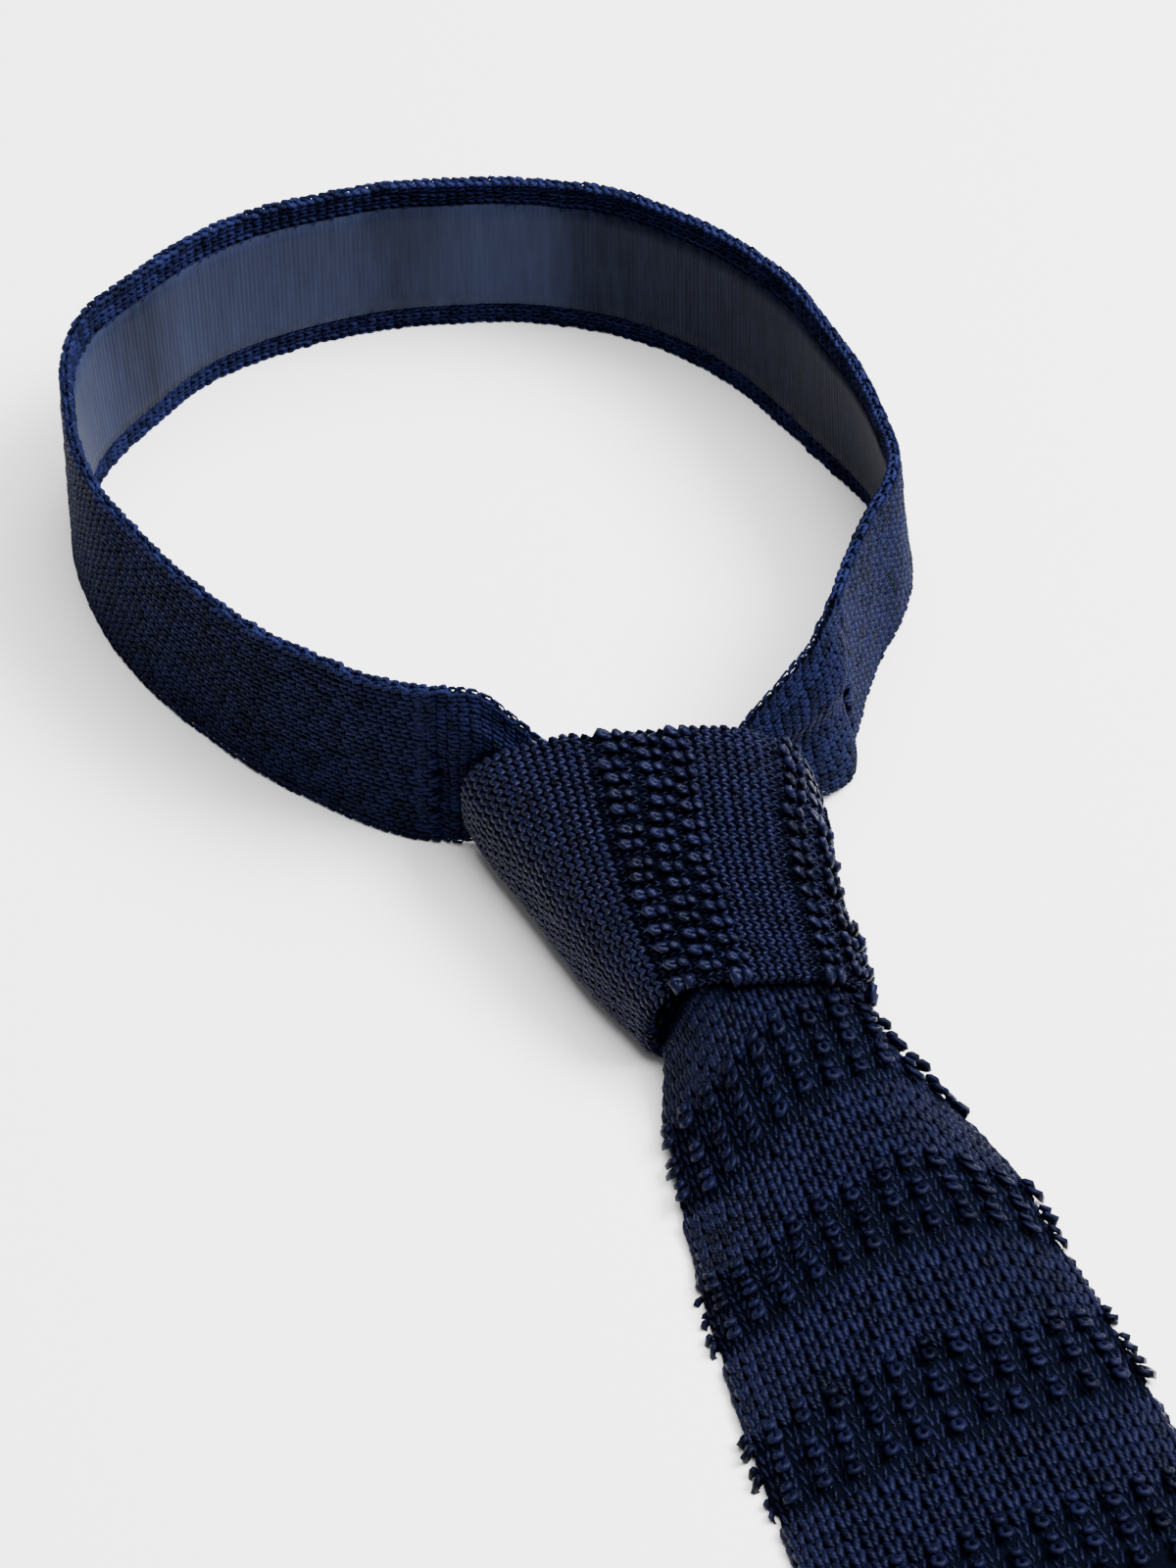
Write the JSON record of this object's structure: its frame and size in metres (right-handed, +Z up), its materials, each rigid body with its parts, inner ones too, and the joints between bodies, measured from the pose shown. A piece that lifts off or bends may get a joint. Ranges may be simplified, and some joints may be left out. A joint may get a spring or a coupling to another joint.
{
  "type": "knit tie",
  "caption": "Knit necktie tied in a four-in-hand: ribbon-lined neck loop standing on its edge, hollow tapered knot, ribbed square-ended front blade and a plain tail under it.",
  "frame": {"origin": "middle of the base rectangle, on the surface the tie lies on", "axes": "+Y from the blade's free end towards the back of the neck loop, +X to the right with the blade towards the viewer, +Z up"},
  "size_m": [0.1304, 0.6078, 0.0339],
  "materials": {
    "silk_knit": "navy silk knit, soft sheen",
    "grosgrain": "slate navy grosgrain ribbon, fine ribs"
  },
  "bodies": {
    "root": {"neckband": "silk_knit", "neckband_ribbon": "grosgrain", "knot_wrap": "silk_knit", "knot_pass": "silk_knit", "front_blade": "silk_knit", "tail": "silk_knit"}
  },
  "joints": []
}
